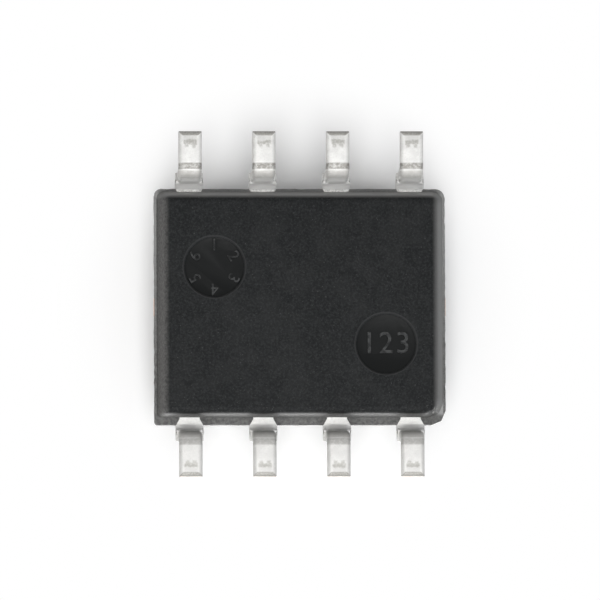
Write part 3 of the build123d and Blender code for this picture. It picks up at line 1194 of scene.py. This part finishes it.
# %% finishes of the inner pieces
COPPER = ((0.40, 0.24, 0.17, 1), (0.66, 0.42, 0.31, 1))
GOLD = ((0.83, 0.58, 0.22, 1), (0.95, 0.72, 0.34, 1))
GLUE, FLAKE = (0.30, 0.29, 0.27, 1), (0.70, 0.69, 0.66, 1)
BLOCKS = ((0.13, 0.15, 0.20, 1), (0.20, 0.19, 0.24, 1))
TRACKS, FINE_TRACKS = (0.55, 0.54, 0.50, 1), (0.42, 0.40, 0.38, 1)
ROLLED = (1, 6, 6)  # squeezes a grain across X, so that it runs along the strip


def metal_finish(name, dark, light, grain_scale, roughness, stretch_by=(1, 1, 1)):
    finish, tree, shader = new_finish(name)
    where = vector_sums(tree, "MULTIPLY", in_millimetres(tree), stretch_by)
    grain = noise(tree, where, grain_scale, 4)
    feed(tree, shader.inputs["Base Color"], blend(tree, ramp(tree, grain, 0.3, 0.7), dark, light))
    feed(tree, shader.inputs["Roughness"], ramp(tree, grain, 0.3, 0.7, roughness, roughness + 0.15))
    shader.inputs["Metallic"].default_value = 1.0
    bump(tree, shader, grain, 0.004, 0.5)
    return finish


def silver_glue_finish():
    finish, tree, shader = new_finish("silver_filled_glue")
    where = in_millimetres(tree)
    flake = ramp(tree, noise(tree, where, 60, 2), 0.55, 0.65)
    feed(tree, shader.inputs["Base Color"], blend(tree, flake, GLUE, FLAKE))
    feed(tree, shader.inputs["Metallic"], ramp(tree, flake, 0.0, 1.0, 0.3, 0.9))
    shader.inputs["Roughness"].default_value = 0.55
    bump(tree, shader, flake, 0.003, 0.6)
    return finish


def silicon_finish():
    """Aluminium tracks in a plain grid of blocks under glass, on polished blue-grey silicon."""
    finish, tree, shader = new_finish("silicon_with_tracks")
    where = in_millimetres(tree)
    tiles = tree.nodes.new("ShaderNodeTexBrick")
    feed(tree, tiles.inputs["Vector"], where)
    tiles.inputs["Scale"].default_value = 9.0
    tiles.inputs["Mortar Size"].default_value = 0.03
    tiles.inputs["Color1"].default_value = BLOCKS[0]
    tiles.inputs["Color2"].default_value = BLOCKS[1]
    tiles.inputs["Mortar"].default_value = TRACKS
    fine = ramp(tree, noise(tree, where, 45, 2), 0.4, 0.6, 0.0, 0.35)
    shade = blend(tree, fine, tiles.outputs["Color"], FINE_TRACKS)
    feed(tree, shader.inputs["Base Color"], shade)
    shader.inputs["Metallic"].default_value = 0.6
    shader.inputs["Roughness"].default_value = 0.22
    bump(tree, shader, tiles.outputs["Fac"], 0.002, 0.3)
    return finish


inner = {
    "die_pad": metal_finish("copper_strip", *COPPER, 20, 0.35, ROLLED),
    "die_attach": silver_glue_finish(),
    "die": silicon_finish(),
}
gold = metal_finish("drawn_gold_wire", *GOLD, 60, 0.18)
for name, node in frame["nodes"].items():
    if name in inner:
        dress(node, inner[name])
    elif name.startswith("bond_wire"):
        dress(node, gold)
print("finished inside:", sorted(n for n in frame["nodes"] if n in inner or "wire" in n))

# %% [markdown]
# ## A white table above and below
# The chip is looked at from both sides, so there is a white floor just under the feet, and a white
# backdrop just past the top face. Each is made to face one way: it can be seen, and catches the
# chip's shadow, only from its own side, and from the other side it is clear. Rays that light the
# chip or mirror in it pass through both and see the plain white studio.

# %% floor and backdrop
SHEET_SIZE = 70 * MM
GAP = 0.03 * MM
SHEET_GLOW = 0.11
FLOOR_FADE = (3.2, 6.0)  # millimetres from the middle, where paper goes over to plain white
BACKDROP_FADE = (2.2, 4.2)


def white_sheet_finish(name, fade_between):
    finish = bpy.data.materials.new(name)
    finish.use_nodes = True
    tree = finish.node_tree
    tree.nodes.clear()
    out = tree.nodes.new("ShaderNodeOutputMaterial")
    paper = tree.nodes.new("ShaderNodeBsdfDiffuse")
    paper.inputs["Color"].default_value = (1.0, 1.0, 1.0, 1)
    glow = tree.nodes.new("ShaderNodeEmission")
    glow.inputs["Strength"].default_value = SHEET_GLOW
    lit = tree.nodes.new("ShaderNodeAddShader")
    tree.links.new(paper.outputs[0], lit.inputs[0])
    tree.links.new(glow.outputs[0], lit.inputs[1])
    # far from the chip the sheet goes over to plain white, like the studio behind it
    far_white = tree.nodes.new("ShaderNodeEmission")
    flat = vector_sums(tree, "MULTIPLY", in_millimetres(tree), (1, 1, 0))
    away = vector_sums(tree, "LENGTH", flat)
    fade = tree.nodes.new("ShaderNodeMixShader")
    feed(tree, fade.inputs["Fac"], ramp(tree, away, *fade_between))
    tree.links.new(lit.outputs[0], fade.inputs[1])
    tree.links.new(far_white.outputs[0], fade.inputs[2])
    clear = tree.nodes.new("ShaderNodeBsdfTransparent")
    side = tree.nodes.new("ShaderNodeNewGeometry")
    ray = tree.nodes.new("ShaderNodeLightPath")
    front = sums(tree, "SUBTRACT", 1.0, side.outputs["Backfacing"])
    seen = sums(tree, "MULTIPLY", front, ray.outputs["Is Camera Ray"])
    show = tree.nodes.new("ShaderNodeMixShader")
    feed(tree, show.inputs["Fac"], seen)
    tree.links.new(clear.outputs[0], show.inputs[1])
    tree.links.new(fade.outputs[0], show.inputs[2])
    tree.links.new(show.outputs[0], out.inputs["Surface"])
    return finish


def white_sheet(name, z, faces_down, fade_between):
    let_go()
    turn = (math.pi, 0, 0) if faces_down else (0, 0, 0)
    bpy.ops.mesh.primitive_plane_add(size=SHEET_SIZE, location=(0, 0, z), rotation=turn)
    sheet = bpy.context.object
    sheet.name = name
    bpy.ops.object.transform_apply(location=True, rotation=True, scale=True)
    dress(sheet, white_sheet_finish(name, fade_between))
    return sheet


floor = white_sheet("white_floor", -GAP, False, FLOOR_FADE)
backdrop = white_sheet("white_backdrop", TOP * MM + GAP, True, BACKDROP_FADE)
print("sheets:", floor.name, "and", backdrop.name)

# %% [markdown]
# ## Lamps and studio
# The light is plain and soft: the studio itself gives about a seventh of it, and a broad lamp above
# and another below give nearly all the rest. They stand well over to the side of leads 1 to 4, so a
# soft shadow falls beyond leads 5 to 8. Weak lamps past the two ends are slightly warm and slightly
# cool. Together they show a colour about as it is written.

# %% world and lamps
STUDIO_SHARE = 0.15  # how bright the studio alone makes white paper
LAMP_DISTANCE = 60 * MM
KEY_SHARE = 0.96
KEY_SIZE = (36 * MM, 62 * MM)
SIDE_SHARE = 0.05
SIDE_SIZE = (30 * MM, 30 * MM)
WARM = (1.0, 0.93, 0.82)
COOL = (0.84, 0.92, 1.0)


def studio_world():
    """Plain white to the eye and in mirrors, but a dim light on everything else."""
    world = bpy.data.worlds.new("white_studio")
    bpy.context.scene.world = world
    world.use_nodes = True
    tree = world.node_tree
    tree.nodes.clear()
    out = tree.nodes.new("ShaderNodeOutputWorld")
    seen = tree.nodes.new("ShaderNodeBackground")
    light = tree.nodes.new("ShaderNodeBackground")
    light.inputs["Strength"].default_value = STUDIO_SHARE
    ray = tree.nodes.new("ShaderNodeLightPath")
    direct = sums(tree, "MAXIMUM", ray.outputs["Is Camera Ray"], ray.outputs["Is Glossy Ray"])
    direct = sums(tree, "MAXIMUM", direct, ray.outputs["Is Transmission Ray"])
    mix = tree.nodes.new("ShaderNodeMixShader")
    feed(tree, mix.inputs["Fac"], direct)
    for background in (seen, light):
        background.inputs["Color"].default_value = (1, 1, 1, 1)
    tree.links.new(light.outputs[0], mix.inputs[1])
    tree.links.new(seen.outputs[0], mix.inputs[2])
    tree.links.new(mix.outputs[0], out.inputs["Surface"])


def look_from(direction):
    """Rotation that makes a lamp standing in that direction look back at the chip."""
    return mathutils.Vector(direction).to_track_quat("Z", "Y").to_euler()


def area_lamp(name, direction, size, share, tint=(1, 1, 1)):
    """An oblong lamp aimed at the chip. `share` is how bright it makes white paper that faces it."""
    length = math.sqrt(sum(c * c for c in direction))
    place = [c / length * LAMP_DISTANCE for c in direction]
    let_go()
    bpy.ops.object.light_add(type="AREA", location=place)
    lamp = bpy.context.object
    lamp.name = name
    lamp.data.shape = "RECTANGLE"
    lamp.data.size, lamp.data.size_y = size
    lamp.data.energy = share * math.pi**2 * LAMP_DISTANCE**2
    lamp.data.color = tint
    lamp.rotation_euler = look_from(direction)
    lamp.visible_camera = False
    return lamp


studio_world()
for side, word in ((-1, "below"), (1, "above")):
    area_lamp(f"key_{word}", (0.05, -0.62, side), KEY_SIZE, KEY_SHARE)
    area_lamp(f"warm_{word}", (0.9, -0.35, side), SIDE_SIZE, SIDE_SHARE, WARM)
    area_lamp(f"cool_{word}", (-0.9, -0.35, side), SIDE_SIZE, SIDE_SHARE, COOL)

# %% [markdown]
# ## The camera
# The camera looks up at the underside, almost square on, through a long lens.

# %% camera and colour
CAMERA_LEAN_X = math.radians(2.4)
CAMERA_LEAN_Y = math.radians(-4.4)
LENS = 600
CAMERA_DISTANCE = 172.5 * MM
CAMERA_ROLL = math.radians(-0.2)
AIM = mathutils.Vector((-0.009, 0.126, 0.875)) * MM
toward_camera = mathutils.Vector((math.sin(CAMERA_LEAN_X), math.sin(CAMERA_LEAN_Y), -1)).normalized()


def up_is_y(direction):
    """Camera axes with the row of leads 5 to 8 at the top of the picture."""
    near_up = mathutils.Matrix.Rotation(CAMERA_ROLL, 3, direction) @ mathutils.Vector((0, 1, 0))
    right = near_up.cross(direction).normalized()
    up = direction.cross(right)
    return mathutils.Matrix((right, up, direction)).transposed().to_euler()


let_go()
bpy.ops.object.camera_add(location=AIM + toward_camera * CAMERA_DISTANCE, rotation=up_is_y(toward_camera))
camera = bpy.context.object
camera.data.lens = LENS
camera.data.sensor_width = 36
camera.data.clip_start = 1 * MM
camera.data.clip_end = 1.0
bpy.context.scene.camera = camera
bpy.context.scene.view_settings.view_transform = "Standard"
print("camera at", [round(c / MM, 2) for c in camera.location], "mm")
